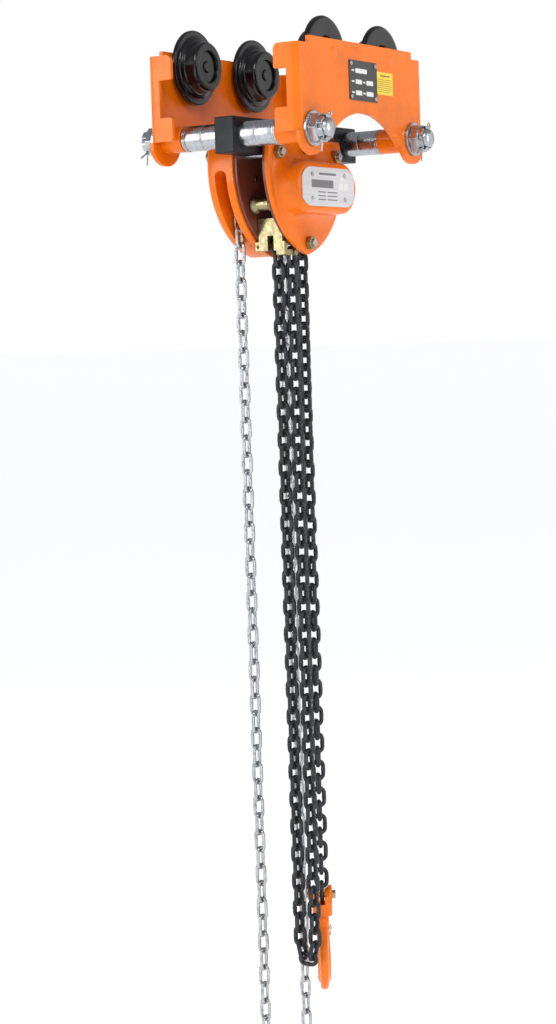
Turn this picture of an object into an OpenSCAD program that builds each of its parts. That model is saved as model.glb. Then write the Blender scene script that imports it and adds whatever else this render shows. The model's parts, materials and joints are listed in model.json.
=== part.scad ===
// Chain block with a push trolley for an I-beam, millimetres.
// Z is up, X runs along the beam, -Y is the gear side. The origin is midway between the four
// wheels, at the height of the beam flange surface that the wheels roll on.

/* [Trolley] */
// Diameter of the wheel tread
tread_d = 68; // [64:1:72]
// Diameter of the wheel flange disc
flange_d = 100.6; // [94:0.1:101]
// Distance between the two wheels of one side plate
wheel_base = 147.2; // [140:0.1:160]
// Outer face of a side plate, from the middle of the beam
plate_y = 117.3; // [116:0.1:125]
// Length of a side plate over its folded ends
plate_len = 327; // [324:1:334]
// Distance between the two cross bars
bar_span = 265; // [262:1:267]
// Diameter of a cross bar
bar_d = 24; // [22:0.5:24]

/* [Hoist body] */
// Radius of the two arcs that make the shield-shaped outline
shield_r = 121.7; // [120:0.1:125]
// Distance of each arc centre from the middle
shield_c = 26; // [25:0.5:27]
// Half length of the gear housing bulge
bulge_len = 80; // [76:1:82]
// Half height of the gear housing bulge
bulge_r = 35; // [34.5:0.5:37]

/* [Load chain] */
// Pitch of the load chain
load_p = 19.05; // [19:0.01:19.1]
// Nominal wire diameter of the load chain
load_d = 6.3; // [6.2:0.1:6.3]
// Outer width of a load chain link
load_w = 21; // [20.8:0.1:21.2]
// Pairs of links in the hook fall
hook_pairs = 25; // [10:1:25]
// Pairs of links in the slack fall
slack_pairs = 27; // [10:1:27]

/* [Hand chain] */
// Pitch of the hand chain
hand_p = 23.7; // [23.6:0.05:23.75]
// Nominal wire diameter of the hand chain
hand_d = 5; // [4.8:0.1:5]
// Outer width of a hand chain link
hand_w = 17.5; // [17:0.1:18]
// Pairs of links in each hand chain fall
hand_pairs = 25; // [12:1:25]

/* [Hook] */
// Inner radius of the hook bowl
bowl_r = 19; // [18:0.5:19.5]

/* [Hidden] */
$fn = 64;
axle_z = tread_d / 2;
plate_t = 6;
bend_r = 10;
bar_x = bar_span / 2;
bar_z = -66.4;
axis_z = -133;
pin_z = -73;
load_y = 6;
hand_y = 52;
load_phase = 5;
load_r = sqrt(pow(load_p / sin(18), 2) + pow(load_d / cos(18), 2)) / 2;
hand_r = sqrt(pow(hand_p / sin(90 / 7), 2) + pow(hand_d / cos(90 / 7), 2)) / 2;
gap = 0.15;
fall_x = load_r * cos(load_phase);
fall_z = axis_z + load_r * sin(load_phase);
flat_a = asin((load_p + load_d) / 2 / load_r);
live_a = load_phase + 144 + 2 * flat_a;
live_x = load_r * cos(live_a);
live_z = axis_z + load_r * sin(live_a);
dead_x = live_x + 7.4;
dead_y = load_y - 16.6;
bend_y = load_y - 24;
hand_flat_a = asin((hand_p + hand_d) / 2 / hand_r);
hand_drop = hand_r * sin(360 / 7 * 3 + 2 * hand_flat_a);
hook_a = -57.6;
bolt_z = fall_z - load_p / 2 - (2 * hook_pairs + 1) * load_p + load_d / 2 - 5.2;
bowl_z = bolt_z - 90.5;
gear_a = 37.5;
anchor_z = live_z - 4 * load_p;
stays = [[-73.5, -87], [73.5, -87], [0, -206]];

// Bar along Y from y0 to y1.
module ybar(x, z, y0, y1, d) {
    translate([x, y0, z])
        rotate([-90, 0, 0])
            cylinder(d = d, h = y1 - y0);
}

// Flat shape drawn in X and Z, from y0 to y1.
module xz(y0, y1) {
    translate([0, y1, 0])
        rotate([90, 0, 0])
            linear_extrude(y1 - y0)
                children();
}

// Hexagon nut along Y.
module nut(x, z, y0, h, af, bore) {
    difference() {
        translate([x, y0, z])
            rotate([-90, 0, 0])
                cylinder(d = af / cos(30), h = h, $fn = 6);
        ybar(x, z, y0 - 1, y0 + h + 1, bore);
    }
}

// One oval chain link of round wire: long axis Z, lying in the X-Z plane.
module link(p, w, d) {
    rc = (w - d) / 2;
    h = p / 2 + d / 2 - rc;
    for (s = [0, 180])
        rotate([0, s, 0]) {
            translate([0, 0, h])
                rotate([90, 0, 0])
                    rotate_extrude(angle = 180, $fn = 48)
                        translate([rc, 0])
                            circle(d = d - 2 * gap, $fn = 24);
            translate([rc, 0, -h])
                cylinder(d = d - 2 * gap, h = 2 * h, $fn = 24);
        }
}

module load_link(x, y, z, turn) {
    translate([x, y, z])
        rotate([0, 0, turn])
            link(load_p, load_w, load_d);
}

module hand_link(x, y, z, turn) {
    translate([x, y, z])
        rotate([0, 0, turn])
            link(hand_p, hand_w, hand_d);
}

// Links laid round a pocket wheel: flat and upright in turn, starting flat at angle a0.
module wrap(p, w, d, r, n, a0, count, y, zc, side) {
    fa = asin((p + d) / 2 / r);
    ua = 180 / n - fa;
    for (i = [0:count - 1]) {
        flat = i % 2 == 0;
        a = side * (a0 + (i + (flat ? 0 : 1)) / 2 * 360 / n + (flat ? fa : -ua));
        dist = r * cos(flat ? fa : ua);
        translate([dist * cos(a), y, zc + dist * sin(a)])
            rotate([0, -a, 0])
                rotate([0, 0, flat ? 90 : 0])
                    link(p, w, d);
    }
}

// Involute spur gear outline with teeth numbered from the +X side.
module gear2d(m, z, turn = 0, add = 0.7, ded = 0.95, slack = 0.4) {
    pa = 25;
    rp = m * z / 2;
    rb = rp * cos(pa);
    ra = rp + add * m;
    rr = rp - ded * m;
    r0 = max(rb, rr);
    half = 90 / z - slack / 2 / rp * 180 / PI;
    inv = tan(pa) * 180 / PI - pa;
    steps = 4;
    flank = [for (i = [0:steps]) let (r = r0 + (ra - r0) * i / steps, a = acos(rb / r))
        [r, half + inv - tan(a) * 180 / PI + a]];
    rotate(turn)
        polygon([for (k = [0:z - 1]) let (c = 360 * k / z) each concat(
            [[rr * cos(c - flank[0][1]), rr * sin(c - flank[0][1])]],
            [for (i = [0:steps]) [flank[i][0] * cos(c - flank[i][1]), flank[i][0] * sin(c - flank[i][1])]],
            [for (i = [steps:-1:0]) [flank[i][0] * cos(c + flank[i][1]), flank[i][0] * sin(c + flank[i][1])]],
            [[rr * cos(c + flank[0][1]), rr * sin(c + flank[0][1])]])]);
}

// Gear standing on the hoist axis plane, from y0 to y1, centred at x.
module ygear(x, y0, y1, m, z, turn, bore) {
    difference() {
        translate([x, 0, axis_z])
            xz(y0, y1)
                gear2d(m, z, turn);
        if (bore > 0)
            ybar(x, axis_z, y0 - 1, y1 + 1, bore);
    }
}

// Shield outline in X and Z, drawn in by i.
module shield(i, top) {
    intersection() {
        translate([shield_c, -103])
            circle(shield_r - i, $fn = 128);
        translate([-shield_c, -103])
            circle(shield_r - i, $fn = 128);
        translate([-150, -250])
            square([300, 250 + top]);
    }
}

module plate_outline() {
    difference() {
        union() {
            translate([-plate_len / 2, -78])
                square([plate_len, 120.9]);
            translate([-134, 0])
                square([268, 52.6]);
            intersection() {
                for (s = [-1, 1])
                    translate([s * bar_x, bar_z])
                        circle(33.5, $fn = 96);
                translate([-plate_len / 2, -110])
                    square([plate_len, 100]);
            }
        }
        translate([0, -169])
            circle(130, $fn = 160);
        for (s = [-1, 1]) {
            translate([s * bar_x, bar_z])
                circle(d = bar_d + 0.2);
            translate([s * wheel_base / 2, axle_z])
                circle(d = 16.1);
        }
    }
}

// Side plate for the -Y side.
// Flat lug along +Y with its two far corners rounded, the lower one first.
module tab(w, h, low, high) {
    rotate([90, 0, 90])
        linear_extrude(plate_t)
            union() {
                square([w - low, h - high]);
                translate([0, low])
                    square([w - high, h - low]);
                translate([0, low])
                    square([w, h - low - high]);
                translate([w - low, low])
                    circle(low);
                translate([w - high, h - high])
                    circle(high);
            }
}

module side_plate() {
    in_x = plate_len / 2 - bend_r;
    in_y = -plate_y + bend_r;
    difference() {
        xz(-plate_y, -plate_y + plate_t)
            plate_outline();
        for (s = [-1, 1])
            translate([s * (in_x + bend_r) - bend_r, -plate_y - 1, -70])
                cube([2 * bend_r, plate_t + 2, 130]);
    }
    for (s = [-1, 1])
        mirror([s < 0 ? 1 : 0, 0, 0]) {
            translate([in_x, in_y, -70])
                rotate([0, 0, -90])
                    rotate_extrude(angle = 90)
                        translate([bend_r - plate_t, 0])
                            square([plate_t, 112.9]);
            translate([in_x + bend_r - plate_t, in_y, -70])
                cube([plate_t, 8.3, 112.9]);
            translate([in_x + bend_r - plate_t, in_y, 10.5])
                tab(27.3, 32.4, 3, 8);
            translate([in_x + bend_r - plate_t, in_y, -70])
                tab(27.3, 31, 5, 3);
        }
}

module side_plate_front() {
    color("darkorange") side_plate();
}

module side_plate_rear() {
    color("darkorange") mirror([0, 1, 0]) side_plate();
}

// Flanged trolley wheel for the -Y side, turned round Y.
module wheel(sx, sy) {
    color("#1a1a1c")
        translate([sx * wheel_base / 2, 0, axle_z])
            mirror([0, sy > 0 ? 1 : 0, 0])
                rotate([90, 0, 0])
                    rotate_extrude($fn = 96)
                        polygon([[8.6, 84.5], [21, 84.5], [21, 78.5], [32, 78.5], [33.4, 80],
                            [tread_d / 2, 86], [tread_d / 2 + 1.2, 94], [40, 96.2],
                            [42, 98.7], [flange_d / 2 - 1, 98.7], [flange_d / 2, 99.7],
                            [flange_d / 2, 104], [flange_d / 2 - 2.5, 106.5], [24, 106.5],
                            [22, 104], [8.6, 104]]);
}

module wheel_front_left() {
    wheel(-1, -1);
}

module wheel_front_right() {
    wheel(1, -1);
}

module wheel_rear_left() {
    wheel(-1, 1);
}

module wheel_rear_right() {
    wheel(1, 1);
}

module each_wheel() {
    for (sx = [-1, 1], m = [0, 1])
        mirror([0, m, 0])
            translate([sx * wheel_base / 2, 0, axle_z])
                children();
}

module wheel_axles() {
    color("#2a2a2c")
        each_wheel()
            rotate([90, 0, 0])
                rotate_extrude()
                    polygon([[0, 80.2], [6.6, 80.2], [8, 81.6], [8, 107], [13, 107], [13, plate_y - plate_t],
                        [8, plate_y - plate_t], [8, plate_y - 0.4], [0, plate_y - 0.4]]);
}

module wheel_bearings() {
    color("#232325")
        each_wheel()
            rotate([90, 0, 0])
                rotate_extrude()
                    polygon([[8.01, 82.4], [20.4, 82.4], [20.4, 83.9], [12.5, 83.9],
                        [12.5, 84.2], [8.01, 84.2]]);
}

module cross_bars() {
    color("silver")
        for (s = [-1, 1])
            difference() {
                ybar(s * bar_x, bar_z, -145.5, 145.5, bar_d);
                for (e = [-1, 1])
                    translate([s * bar_x, e * 136.8, bar_z])
                        rotate([0, 34, 0])
                            cylinder(d = 5, h = 40, center = true);
            }
}

module bar_ring(s, y0, y1, od, id) {
    difference() {
        ybar(s * bar_x, bar_z, y0, y1, od);
        ybar(s * bar_x, bar_z, y0 - 1, y1 + 1, id);
    }
}

module bar_sleeves() {
    color("darkorange")
        for (s = [-1, 1]) {
            bar_ring(s, -plate_y + plate_t, -69, 34, bar_d + 0.2);
            bar_ring(s, 79, plate_y - plate_t, 34, bar_d + 0.2);
        }
}

module spacer_tubes() {
    color("silver")
        for (s = [-1, 1]) {
            bar_ring(s, -64, -38.2, 33.6, bar_d + 0.2);
            bar_ring(s, -38, -12, 33.6, bar_d + 0.2);
            bar_ring(s, 18.5, 46, 33.6, bar_d + 0.2);
            bar_ring(s, 46.2, 72, 33.6, bar_d + 0.2);
        }
}

module bar_washers() {
    color("silver")
        for (s = [-1, 1]) {
            for (y = [-69, -66.4, 72.2, 74.8])
                bar_ring(s, y, y + 2.2, 34.6, bar_d + 0.2);
            bar_ring(s, -plate_y - 4, -plate_y, 46, bar_d + 0.2);
            bar_ring(s, plate_y, plate_y + 4, 46, bar_d + 0.2);
        }
}

// Castle nut whose slots face away from the plate.
module castle_nut(s, m) {
    mirror([0, m, 0])
        difference() {
            union() {
                nut(s * bar_x, bar_z, plate_y + 4, 12, 36, bar_d + 0.1);
                bar_ring(s, plate_y + 16, plate_y + 23.5, 34, bar_d + 0.1);
            }
            for (a = [0, 60, 120])
                translate([s * bar_x, plate_y + 20.5, bar_z])
                    rotate([0, a + 4, 0])
                        cube([50, 8, 5.6], center = true);
        }
}

module castle_nuts() {
    color("silver")
        for (s = [-1, 1], m = [0, 1])
            castle_nut(s, m);
}

module split_pins() {
    color("silver")
        for (s = [-1, 1], e = [-1, 1])
            translate([s * bar_x, e * 136.8, bar_z])
                rotate([0, 34, 0]) {
                    cylinder(d = 4.6, h = 40, center = true, $fn = 24);
                    translate([0, 0, 21.5])
                        rotate([90, 0, 0])
                            rotate_extrude($fn = 32)
                                translate([3, 0])
                                    circle(d = 2.3, $fn = 16);
                    for (t = [-1, 1])
                        translate([t * 1.2, 0, -19])
                            rotate([0, 180 - t * 28, 0])
                                cylinder(d = 2.2, h = 15, $fn = 16);
                }
}

module suspension_block() {
    color("#1e1f22")
        difference() {
            translate([-157, -12, -91])
                cube([314, 30.5, 48]);
            for (s = [-1, 1]) {
                ybar(s * bar_x, bar_z, -20, 30, bar_d + 0.2);
                translate([s * 73.5 - 13, -20, -110])
                    cube([26, 50, 33.5]);
            }
            ybar(0, pin_z, -20, 30, 18.2);
        }
}

module suspension_pin() {
    color("#b9a24a") {
        ybar(0, pin_z, -27.5, 37, 18);
        ybar(0, pin_z, -31.5, -25.2, 24);
        difference() {
            ybar(0, pin_z, 18.7, 25.8, 26);
            ybar(0, pin_z, 18, 27, 18);
        }
    }
}

module data_plate() {
    color("#151515")
        difference() {
            translate([-36.5, -plate_y - 1, -23])
                cube([73, 1, 52.5]);
            for (x = [-31.5, 31.5], z = [-18.5, 25])
                ybar(x, z, -plate_y - 2, -plate_y + 1, 3.1);
        }
}

module warning_label() {
    color("gold")
        translate([38, -plate_y - 0.3, -11])
            cube([42, 0.3, 30]);
}

// Dome-headed rivet whose shank ends at y.
module rivet(x, z, y, d, h) {
    ybar(x, z, y - h, y, d);
    ybar(x, z, y - h - 1.2, y - h, d * 1.9);
}

module plate_rivets() {
    color("silver") {
        for (x = [-31.5, 31.5], z = [-18.5, 25])
            rivet(x, z, -plate_y, 3, 1);
        for (x = [-42, 42], z = [-16, 16])
            rivet(x, axis_z + z, -58, 3, 1.5);
    }
}

module frame_holes(axis_d) {
    for (p = stays)
        translate(p)
            circle(d = 10.1);
    translate([0, axis_z])
        circle(d = axis_d);
    translate([0, pin_z])
        circle(d = 18.1);
}

module frame_plate_gear() {
    color("#4a2320")
        xz(-19, -14)
            difference() {
                shield(1.5, -55);
                frame_holes(40.1);
                for (s = [-1, 1]) {
                    translate([s * gear_a, axis_z])
                        circle(d = 12.1);
                    translate([s * 59, -154])
                        circle(d = 8.1);
                }
            }
}

module frame_plate_hand() {
    color("#4a2320")
        xz(26, 31)
            difference() {
                shield(1.5, -55);
                frame_holes(40.1);
                for (s = [-1, 1])
                    translate([s * 48, axis_z + 14])
                        circle(d = 8.1);
            }
}

module stay_bolts() {
    color("#c9c0a8")
        for (p = stays)
            ybar(p[0], p[1], -36, 85, 10);
}

module stay_tubes() {
    color("#b9a9a4")
        for (p = stays) {
            difference() {
                ybar(p[0], p[1], -14, 26, 16);
                ybar(p[0], p[1], -15, 27, 10.1);
            }
            difference() {
                ybar(p[0], p[1], 38.5, 73, 14);
                ybar(p[0], p[1], 38, 76, 10.1);
            }
        }
}

module stay_nuts() {
    color("#d6c98c")
        for (p = stays) {
            nut(p[0], p[1], -33, 8, 17, 10);
            nut(p[0], p[1], 31, 7.3, 17, 10);
            nut(p[0], p[1], 77, 6.5, 17, 10);
        }
}

// Rounded bar shape of half length l and half height r, from y0 to y1, edge radius e at y0.
module bulge(l, r, y0, y1, e) {
    c = l - r;
    for (s = [-1, 1])
        translate([s * c, 0, axis_z])
            rotate([-90, 0, 0])
                rotate_extrude($fn = 96) {
                    translate([0, y0])
                        square([r - e, y1 - y0]);
                    translate([0, y0 + e])
                        square([r, y1 - y0 - e]);
                    intersection() {
                        translate([r - e, y0 + e])
                            circle(e, $fn = 48);
                        translate([0, y0])
                            square([r, y1 - y0]);
                    }
                }
    translate([-c, 0, axis_z])
        rotate([90, 0, 90])
            linear_extrude(2 * c) {
                translate([y0, -r + e])
                    square([y1 - y0, 2 * r - 2 * e]);
                translate([y0 + e, -r])
                    square([y1 - y0 - e, 2 * r]);
                for (s = [-1, 1])
                    translate([y0 + e, s * (r - e)])
                        circle(e, $fn = 48);
            }
}

module gear_cover() {
    color("darkorange") {
        difference() {
            union() {
                xz(-25, -19)
                    shield(0, -66);
                bulge(bulge_len, bulge_r, -58, -22, 9);
            }
            bulge(bulge_len - 3, bulge_r - 3, -55, -18, 6);
            for (p = stays)
                ybar(p[0], p[1], -30, -10, 10.2);
            ybar(0, pin_z, -30, -10, 26);
        }
        for (x = [-gear_a, 0, gear_a])
            difference() {
                ybar(x, axis_z, -55.5, -49, 18);
                ybar(x, axis_z, -54.5, -48, 10.1);
            }
    }
}

module name_plate() {
    color("silver")
        difference() {
            translate([0, 0, axis_z])
                xz(-59.5, -58) {
                    square([2 * 45, 52], center = true);
                    for (s = [-1, 1])
                        translate([s * 45, 0])
                            intersection() {
                                circle(26);
                                square([2 * 22, 52], center = true);
                            }
                }
            for (x = [-42, 42], z = [-16, 16])
                ybar(x, axis_z + z, -62, -50, 3.1);
        }
}

// Pockets cut flat under each lying link; flare lengthens a pocket above its seat, so that the
// hanging links clear the teeth.
module pockets(p, w, d, r, n, turn, y, top, flare) {
    fa = asin((p + d) / 2 / r);
    floor_r = r * cos(fa) - d / 2 - 0.15;
    half = p / 2 + d / 2 - (w - d) / 2;
    for (i = [0:n - 1], k = [0, 1])
        translate([0, y, axis_z])
            rotate([0, -(turn + fa + 360 * i / n), 0])
                translate([floor_r + 0.35 * d * k, 0, 0])
                    rotate([0, 90, 0])
                        linear_extrude(top)
                            union() {
                                square([2 * half, w + 0.8], center = true);
                                for (s = [-1, 1])
                                    translate([s * (half + flare * k), 0])
                                        circle(d = w + 0.8);
                            }
}

// Solid turned round the hoist axis from [radius, y] points.
module turned(points) {
    translate([0, 0, axis_z])
        rotate([-90, 0, 0])
            rotate_extrude($fn = 96)
                polygon(points);
}

module load_sheave() {
    color("#5b5c60")
        difference() {
            turned([[9.8, -31], [14, -31], [14, -19.3], [16, -19.3], [16, -13.4], [20, -13.4],
                [20, -6.6], [32, -6.6], [34, -4.6], [34, load_y - 3.8], [19.3, load_y - 3.8],
                [19.3, load_y + 3.8], [34, load_y + 3.8], [34, 16.6], [32, 18.6], [20, 18.6],
                [20, 25.4], [16, 25.4], [16, 30.8], [9.8, 30.8]]);
            pockets(load_p, load_w, load_d, load_r, 5, load_phase, load_y, 20, 1.7);
        }
}

module sheave_bearings() {
    color("#8f7a46")
        for (y = [-19, 26])
            difference() {
                ybar(0, axis_z, y, y + 5, 40);
                ybar(0, axis_z, y - 1, y + 6, 32.1);
            }
}

module load_gear() {
    color("#77787c") ygear(0, -31, -21.5, 2.5, 22, 0, 28.02);
}

module drive_shaft() {
    color("#8a8b90") {
        ygear(0, -44, -34, 1.5, 11, 0, 0);
        ybar(0, axis_z, -53.9, -44, 10);
        ybar(0, axis_z, -34, 32, 15);
        ybar(0, axis_z, 32, 71, 14);
    }
}

module intermediate_gear(s) {
    color("#85868b") {
        ygear(s * gear_a, -42, -34, 1.5, 39, 0, 0);
        ygear(s * gear_a, -34, -22.5, 2.5, 8, 22.5, 0);
        ybar(s * gear_a, axis_z, -53.9, -42, 10);
        ybar(s * gear_a, axis_z, -22.5, -14.5, 12);
    }
}

module intermediate_gear_left() {
    intermediate_gear(-1);
}

module intermediate_gear_right() {
    intermediate_gear(1);
}

module friction_hub() {
    color("#6f7075") turned([[7, 32], [28, 32], [28, 35], [7, 35]]);
}

module friction_discs() {
    color("#6b4a2c") {
        turned([[7.3, 35], [27, 35], [27, 37.4], [7.3, 37.4]]);
        turned([[7.3, 41.9], [27, 41.9], [27, 44.1], [7.3, 44.1]]);
    }
}

module ratchet_disc() {
    teeth = 16;
    color("#7d7e83")
        difference() {
            translate([0, 0, axis_z])
                xz(37.8, 41.5)
                    polygon([for (k = [0:teeth - 1]) each
                        [[34 * cos(360 * k / teeth), 34 * sin(360 * k / teeth)],
                         [29 * cos(360 * (k + 0.12) / teeth), 29 * sin(360 * (k + 0.12) / teeth)]]]);
            ybar(0, axis_z, 37, 42, 15.2);
        }
}

// Pawl on the post at (s * 48, 14) whose tip rests just clear of a ratchet tooth.
module pawl(s) {
    color("#8a8b90")
        translate([s * 48, 0, axis_z + 14])
            difference() {
                xz(37.8, 41.5) {
                    circle(6.5);
                    polygon(s > 0 ? [[-6.4, 1], [-11, -8.5], [-12.6, -9.5], [-3, -5.8]]
                        : [[6.4, 1], [11, -8.5], [12.6, -9.5], [3, -5.8]]);
                }
                ybar(0, 0, 30, 50, 8.1);
            }
}

module pawl_left() {
    pawl(-1);
}

module pawl_right() {
    pawl(1);
}

module pawl_posts() {
    color("#b9a24a")
        for (s = [-1, 1]) {
            ybar(s * 48, axis_z + 14, 24.5, 42, 8);
            ybar(s * 48, axis_z + 14, 31, 37.3, 12);
        }
}

module hand_wheel() {
    color("#a5501c")
        difference() {
            turned([[7.05, 44.1], [30, 44.1], [36, 46.5], [40, 46], [40, 43], [56, 43], [58.5, 45],
                [58.5, hand_y - 3.2], [43, hand_y - 3.2], [43, hand_y + 3.2], [58.5, hand_y + 3.2],
                [58.5, 59], [56, 61], [40, 61], [40, 54], [36, 51.5], [16, 51.5], [14, 60], [7.05, 60]]);
            pockets(hand_p, hand_w, hand_d, hand_r, 7, 0, hand_y, 20, 2.8);
            for (a = [0:60:300])
                translate([22.5 * cos(a), 40, axis_z + 22.5 * sin(a)])
                    rotate([-90, 0, 0])
                        cylinder(d = 8, h = 20);
        }
}

module hand_wheel_nut() {
    color("silver") nut(0, axis_z, 60.2, 7, 22, 14);
}

module hand_wheel_cover() {
    color("darkorange")
        difference() {
            union() {
                xz(33, 73)
                    shield(0, -66);
                xz(31, 33)
                    shield(-2, -64);
                xz(73, 77)
                    shield(5, -72);
            }
            xz(30, 73)
                shield(3, -69);
            for (p = stays)
                ybar(p[0], p[1], 70, 80, 10.2);
            ybar(0, pin_z, 30, 38.5, 24);
            for (s = [-1, 1])
                translate([s > 0 ? 34 : -120, 43, -226])
                    cube([86, 18.5, 118]);
        }
}

module stripper() {
    color("#b9a24a") {
        difference() {
            union() {
                translate([-48, -13, -216])
                    cube([6, 38, 44]);
                translate([-48, -16.5, -222])
                    cube([6, 14, 18.5]);
                translate([-48, 16, -216])
                    cube([6, 14.5, 12.5]);
            }
            translate([-50, 1.5, -220])
                cube([10, 9, 24]);
            translate([-50, 26.5, -210])
                rotate([0, 90, 0])
                    cylinder(d = 4, h = 12);
        }
        for (e = [[-16.5, 2.4], [-7.1, 2.1]])
            difference() {
                union() {
                    translate([-44, e[0], anchor_z - 4.4])
                        cube([dead_x + 44, e[1], 8.4]);
                    ybar(dead_x, anchor_z, e[0], e[0] + e[1], 8.8);
                }
                ybar(dead_x, anchor_z, -20, 0, 6.1);
            }
        for (y = [-11.5, 18.5])
            translate([-44, y, -180])
                cube([36, 5, 8]);
        translate([-16, -11.5, -180])
            cube([8, 35, 6]);
        translate([-16, load_y - 3, -175])
            cube([8, 6, 18]);
    }
}

module guide_roller(s) {
    color("#c9bd92")
        translate([s * 59, 0, -154])
            rotate([-90, 0, 0])
                rotate_extrude()
                    polygon([[4.1, -10], [12, -10], [12, -6.5], [8.5, -3], [8.5, 15],
                        [12, 18.5], [12, 22], [4.1, 22]]);
}

module guide_roller_left() {
    guide_roller(-1);
}

module guide_roller_right() {
    guide_roller(1);
}

module roller_pins() {
    color("silver")
        for (s = [-1, 1]) {
            ybar(s * 59, -154, -18.9, 25.9, 8);
            difference() {
                ybar(s * 59, -154, -13.9, -10.3, 14);
                ybar(s * 59, -154, -15, -9, 8);
            }
        }
}

module anchor_pin() {
    color("#b9a24a") {
        ybar(dead_x, anchor_z, -19, -4.8, 6);
        ybar(dead_x, anchor_z, -19, -16.7, 8.6);
    }
}

// Centre height of the upright link of pair k, counted down from a wheel's last joint at z.
function upright_z(z, p, d, k) = z - (p - d) / 2 - 2 * p * k;

module load_chain_wrap() {
    color("#2b2c30") {
        wrap(load_p, load_w, load_d, load_r, 5, load_phase, 5, load_y, axis_z, 1);
        for (e = [[fall_x, fall_z], [live_x, live_z]]) {
            load_link(e[0], load_y, upright_z(e[1], load_p, load_d, 0), 0);
            load_link(e[0], load_y, upright_z(e[1], load_p, load_d, 0.5), 90);
        }
    }
}

module load_chain_hook_fall() {
    color("#2b2c30")
        for (i = [2:2 * hook_pairs + 1])
            load_link(fall_x, load_y, upright_z(fall_z, load_p, load_d, i / 2),
                (i % 2) * 90 + hook_a * (i - 1) / (2 * hook_pairs));
}

module load_chain_live() {
    color("#2b2c30")
        for (i = [2:2 * slack_pairs - 1])
            load_link(live_x, load_y, upright_z(live_z, load_p, load_d, i / 2), (i % 2) * 90);
}

module load_chain_bend() {
    zb = upright_z(live_z, load_p, load_d, slack_pairs);
    yc = (load_y + bend_y) / 2;
    lean = asin(((load_y - bend_y) / 2 - (load_p - load_d) / 2) / (load_p + load_d));
    dz = (load_p + load_d) / 2 * cos(lean);
    zc = zb + (load_p + load_d) / 2 - dz;
    color("#2b2c30") {
        for (s = [-1, 1])
            translate([live_x, yc + s * ((load_y - bend_y) / 4 + (load_p - load_d) / 4), zc])
                rotate([-s * lean, 0, 0])
                    link(load_p, load_w, load_d);
        translate([live_x, yc, zc - dz])
            rotate([90, 0, 0])
                rotate([0, 0, 90])
                    link(load_p, load_w, load_d);
    }
}

module load_chain_dead() {
    zb = upright_z(live_z, load_p, load_d, slack_pairs);
    n = 2 * (slack_pairs - 2);
    color("#2b2c30")
        for (i = [1:n])
            load_link(live_x + (dead_x - live_x) * i / n, bend_y + (dead_y - bend_y) * i / n,
                zb + load_p * i, (i % 2) * 90);
}

module hand_chain_wrap() {
    color("silver") {
        wrap(hand_p, hand_w, hand_d, hand_r, 7, 0, 7, hand_y, axis_z, 1);
        for (e = [[hand_r, axis_z], [-hand_r * cos(asin(hand_drop / hand_r)), axis_z + hand_drop]]) {
            hand_link(e[0], hand_y, upright_z(e[1], hand_p, hand_d, 0), 0);
            hand_link(e[0], hand_y, upright_z(e[1], hand_p, hand_d, 0.5), 90);
        }
    }
}

module hand_fall(x, z) {
    color("silver")
        for (i = [2:2 * hand_pairs])
            hand_link(x, hand_y, upright_z(z, hand_p, hand_d, i / 2), (i % 2) * 90);
}

module hand_chain_front_fall() {
    hand_fall(-hand_r * cos(asin(hand_drop / hand_r)), axis_z + hand_drop);
}

module hand_chain_rear_fall() {
    hand_fall(hand_r, axis_z);
}

module hand_chain_bend() {
    end_z = upright_z(axis_z, hand_p, hand_d, hand_pairs) - (hand_p - hand_d) / 2;
    color("silver")
        wrap(hand_p, hand_w, hand_d, hand_r, 7, asin(hand_drop / hand_r), 7, hand_y,
            end_z + hand_drop, -1);
}

// Places a child on the hook fall, with local X along the hook bolt.
module at_hook(z) {
    translate([fall_x, load_y, z])
        rotate([0, 0, hook_a])
            children();
}

module hook_yoke() {
    color("darkorange")
        at_hook(bolt_z)
            for (s = [-1, 1])
                difference() {
                    intersection() {
                        union() {
                            translate([-14, 0, 0])
                                rotate([0, 90, 0])
                                    cylinder(r = 13.5, h = 28);
                            translate([0, 0, -29])
                                cylinder(r = 14, h = 27);
                        }
                        translate([s > 0 ? 0.05 : -16.05, -20, -40])
                            cube([16, 40, 60]);
                    }
                    translate([-3.6, -16, -12])
                        cube([7.2, 32, 40]);
                    translate([-20, 0, 0])
                        rotate([0, 90, 0])
                            cylinder(d = 8.1, h = 40);
                    rotate([0, 90, 0])
                        rotate([0, 0, 90])
                            rotate_extrude(angle = 180)
                                translate([18.9, 0])
                                    circle(11);
                    translate([0, 0, -24.6])
                        cylinder(r = 11, h = 14);
                    translate([0, 0, -40])
                        cylinder(r = 7.9, h = 30);
                }
}

module hook_bolt() {
    color("#b9a24a")
        at_hook(bolt_z)
            rotate([0, 90, 0]) {
                translate([0, 0, -21])
                    cylinder(d = 8, h = 40);
                translate([0, 0, 14.1])
                    cylinder(d = 12, h = 5, $fn = 6);
                translate([0, 0, -20])
                    difference() {
                        cylinder(d = 13.5, h = 5.9, $fn = 6);
                        translate([0, 0, -1])
                            cylinder(d = 8, h = 8);
                    }
            }
}

// Hook outline with Y as the first axis, measured from the bowl centre; i draws it in.
module hook_outline(i) {
    difference() {
        union() {
            difference() {
                translate([-3, -1])
                    circle(42 - i, $fn = 128);
                polygon([[0, 0], [-60, 35], [-60, 90], [90, 90], [90, 36]]);
            }
            translate([26.4, 10.7])
                circle(9.5 - i * 0.5);
            polygon([[-9, 60.4], [9, 60.4], [9, 46], [-4, 30], [-15, 5], [-40, 14], [-38.5, 22],
                [-27 + i * 0.4, 42], [-9, 54]]);
        }
        circle(bowl_r, $fn = 96);
    }
}

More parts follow.
